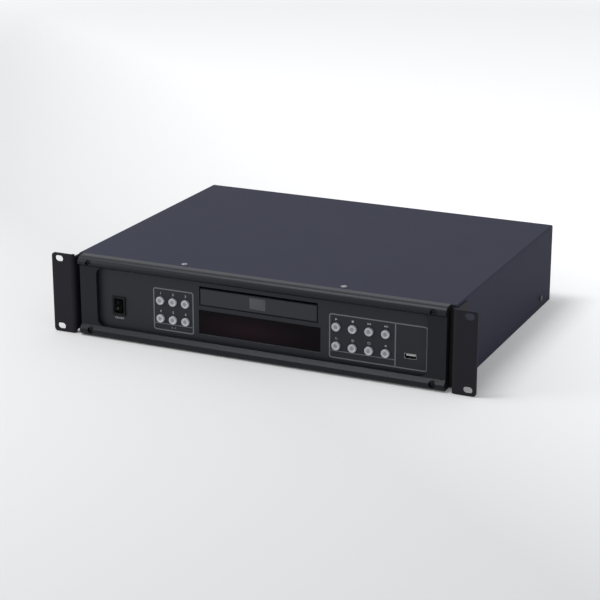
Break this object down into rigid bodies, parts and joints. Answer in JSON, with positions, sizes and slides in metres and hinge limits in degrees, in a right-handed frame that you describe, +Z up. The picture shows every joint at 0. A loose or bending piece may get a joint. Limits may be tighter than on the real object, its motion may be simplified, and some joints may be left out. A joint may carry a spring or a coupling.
{
  "type": "rack-mount disc player",
  "caption": "Two-unit rack disc player: motor tray with door, red display window, round keys, rocker switch and USB socket in a rounded-lip front frame, with slotted rack ears.",
  "frame": {"origin": "under the middle of the whole unit, on its underside", "axes": "+X to the right as seen from the front, +Y to the rear, +Z up"},
  "size_m": [0.4826, 0.336, 0.0887],
  "materials": {
    "cover_paint": "satin black paint, slightly rough",
    "frame_black": "black anodised, satin",
    "plate_black": "matt black paint with pale printing",
    "chassis_steel": "zinc plated",
    "rear_black": "satin black paint",
    "door_plastic": "fine grained black",
    "key_plastic": "satin silver grey",
    "window_red": "dark red tinted acrylic, glossy",
    "black_plastic": "matt black",
    "rocker_plastic": "glossy black",
    "gear_plastic": "natural acetal",
    "bridge_steel": "bare sheet",
    "motor_steel": "nickel plated",
    "belt_rubber": "matt",
    "tube_glass": "display tube on its board",
    "board_green": "solder mask",
    "component_black": "moulded",
    "transformer_iron": "varnished laminations",
    "screw_black": "black oxide",
    "screw_bright": "nickel plated",
    "socket_steel": "nickel plated shell",
    "cable_grey": "grey ribbon"
  },
  "bodies": {
    "case": {"chassis_pan": "chassis_steel", "sub_panel": "chassis_steel", "rear_panel": "rear_black", "top_cover": "cover_paint", "front_frame": "frame_black", "control_plate": "plate_black", "left_ear": "cover_paint", "right_ear": "cover_paint", "frame_screws": "screw_black", "cover_screws": "screw_bright", "ear_screws": "screw_black", "rocker_housing": "black_plastic", "usb_socket": "socket_steel", "display_window": "window_red", "display_module": "tube_glass", "key_boards": "board_green", "key_switches": "component_black", "loader_chassis": "black_plastic", "loader_brackets": "chassis_steel", "clamp_bridge": "bridge_steel", "loading_motor": "motor_steel", "drive_belt": "belt_rubber", "standoffs": "chassis_steel", "main_board": "board_green", "power_board": "board_green", "board_parts": "component_black", "transformer": "transformer_iron", "ribbon_cable": "cable_grey", "mains_inlet": "black_plastic", "audio_jacks": "black_plastic"},
    "tray": {"disc_tray": "black_plastic", "tray_door": "door_plastic"},
    "tray_gear": {"tray_gear": "gear_plastic"},
    "pulley_gear": {"pulley_gear": "gear_plastic"},
    "motor_pulley": {"motor_pulley": "gear_plastic"},
    "lift_cam": {"lift_cam": "gear_plastic"},
    "traverse": {"traverse_frame": "black_plastic", "spindle_motor": "motor_steel", "guide_rods": "motor_steel", "sled_motor": "motor_steel"},
    "turntable": {"turntable": "black_plastic"},
    "clamper": {"disc_clamper": "black_plastic"},
    "sled": {"laser_sled": "black_plastic"},
    "lead_screw": {"lead_screw": "motor_steel"},
    "rocker": {"power_rocker": "rocker_plastic"},
    "number_key_1": {"number_key_1": "key_plastic"},
    "number_key_2": {"number_key_2": "key_plastic"},
    "number_key_3": {"number_key_3": "key_plastic"},
    "number_key_4": {"number_key_4": "key_plastic"},
    "number_key_5": {"number_key_5": "key_plastic"},
    "number_key_6": {"number_key_6": "key_plastic"},
    "play_key": {"play_key": "key_plastic"},
    "stop_key": {"stop_key": "key_plastic"},
    "previous_key": {"previous_key": "key_plastic"},
    "next_key": {"next_key": "key_plastic"},
    "repeat_key": {"repeat_key": "key_plastic"},
    "program_key": {"program_key": "key_plastic"},
    "folder_key": {"folder_key": "key_plastic"},
    "eject_key": {"eject_key": "key_plastic"}
  },
  "joints": [
    {"name": "tray_slide", "type": "slide", "parent": "case", "child": "tray", "axis": [0, -1, 0], "range_m": [0, 0.145]},
    {"name": "tray_gear_spin", "type": "hinge", "parent": "case", "child": "tray_gear", "pos_m": [0.041, -0.134, 0.053], "axis": [0, 0, 1], "range_deg": [-756, 0]},
    {"name": "pulley_gear_spin", "type": "hinge", "parent": "case", "child": "pulley_gear", "pos_m": [0.025, -0.134, 0.05], "axis": [0, 0, 1], "range_deg": [0, 1662]},
    {"name": "motor_pulley_spin", "type": "hinge", "parent": "case", "child": "motor_pulley", "pos_m": [-0.015, -0.134, 0.0448], "axis": [0, 0, 1], "range_deg": [0, 5461]},
    {"name": "lift_cam_slide", "type": "slide", "parent": "case", "child": "lift_cam", "axis": [1, 0, 0], "range_m": [0, 0.012]},
    {"name": "traverse_tilt", "type": "hinge", "parent": "case", "child": "traverse", "pos_m": [0, -0.0005, 0.0455], "axis": [1, 0, 0], "range_deg": [0, 4]},
    {"name": "turntable_spin", "type": "hinge", "parent": "traverse", "child": "turntable", "pos_m": [0, -0.086, 0.06], "axis": [0, 0, 1], "continuous": true},
    {"name": "clamper_spin", "type": "hinge", "parent": "case", "child": "clamper", "pos_m": [0, -0.086, 0.068], "axis": [0, 0, 1], "continuous": true},
    {"name": "sled_slide", "type": "slide", "parent": "traverse", "child": "sled", "axis": [0, 1, 0], "range_m": [0, 0.034]},
    {"name": "lead_screw_spin", "type": "hinge", "parent": "traverse", "child": "lead_screw", "pos_m": [0.027, -0.046, 0.0505], "axis": [0, 1, 0], "range_deg": [-4081, 0]},
    {"name": "rocker_tilt", "type": "hinge", "parent": "case", "child": "rocker", "pos_m": [-0.1644, -0.1534, 0.0358], "axis": [1, 0, 0], "range_deg": [0, 16]},
    {"name": "number_key_1_press", "type": "slide", "parent": "case", "child": "number_key_1", "axis": [0, 1, 0], "range_m": [0, 0.0006], "stiffness_N_per_m": 1500, "springref_m": -0.0002},
    {"name": "number_key_2_press", "type": "slide", "parent": "case", "child": "number_key_2", "axis": [0, 1, 0], "range_m": [0, 0.0006], "stiffness_N_per_m": 1500, "springref_m": -0.0002},
    {"name": "number_key_3_press", "type": "slide", "parent": "case", "child": "number_key_3", "axis": [0, 1, 0], "range_m": [0, 0.0006], "stiffness_N_per_m": 1500, "springref_m": -0.0002},
    {"name": "number_key_4_press", "type": "slide", "parent": "case", "child": "number_key_4", "axis": [0, 1, 0], "range_m": [0, 0.0006], "stiffness_N_per_m": 1500, "springref_m": -0.0002},
    {"name": "number_key_5_press", "type": "slide", "parent": "case", "child": "number_key_5", "axis": [0, 1, 0], "range_m": [0, 0.0006], "stiffness_N_per_m": 1500, "springref_m": -0.0002},
    {"name": "number_key_6_press", "type": "slide", "parent": "case", "child": "number_key_6", "axis": [0, 1, 0], "range_m": [0, 0.0006], "stiffness_N_per_m": 1500, "springref_m": -0.0002},
    {"name": "play_key_press", "type": "slide", "parent": "case", "child": "play_key", "axis": [0, 1, 0], "range_m": [0, 0.0006], "stiffness_N_per_m": 1500, "springref_m": -0.0002},
    {"name": "stop_key_press", "type": "slide", "parent": "case", "child": "stop_key", "axis": [0, 1, 0], "range_m": [0, 0.0006], "stiffness_N_per_m": 1500, "springref_m": -0.0002},
    {"name": "previous_key_press", "type": "slide", "parent": "case", "child": "previous_key", "axis": [0, 1, 0], "range_m": [0, 0.0006], "stiffness_N_per_m": 1500, "springref_m": -0.0002},
    {"name": "next_key_press", "type": "slide", "parent": "case", "child": "next_key", "axis": [0, 1, 0], "range_m": [0, 0.0006], "stiffness_N_per_m": 1500, "springref_m": -0.0002},
    {"name": "repeat_key_press", "type": "slide", "parent": "case", "child": "repeat_key", "axis": [0, 1, 0], "range_m": [0, 0.0006], "stiffness_N_per_m": 1500, "springref_m": -0.0002},
    {"name": "program_key_press", "type": "slide", "parent": "case", "child": "program_key", "axis": [0, 1, 0], "range_m": [0, 0.0006], "stiffness_N_per_m": 1500, "springref_m": -0.0002},
    {"name": "folder_key_press", "type": "slide", "parent": "case", "child": "folder_key", "axis": [0, 1, 0], "range_m": [0, 0.0006], "stiffness_N_per_m": 1500, "springref_m": -0.0002},
    {"name": "eject_key_press", "type": "slide", "parent": "case", "child": "eject_key", "axis": [0, 1, 0], "range_m": [0, 0.0006], "stiffness_N_per_m": 1500, "springref_m": -0.0002}
  ],
  "couplings": [
    {"joint": "tray_gear_spin", "follows": "tray_slide", "rad_per_m": -90.909},
    {"joint": "pulley_gear_spin", "follows": "tray_slide", "rad_per_m": 200},
    {"joint": "motor_pulley_spin", "follows": "tray_slide", "rad_per_m": 657.14},
    {"joint": "lift_cam_slide", "follows": "tray_slide", "ratio": 0.08269},
    {"joint": "traverse_tilt", "follows": "tray_slide", "rad_per_m": 0.48135},
    {"joint": "clamper_spin", "follows": "turntable_spin", "ratio": 1},
    {"joint": "lead_screw_spin", "follows": "sled_slide", "rad_per_m": -2094.4}
  ]
}
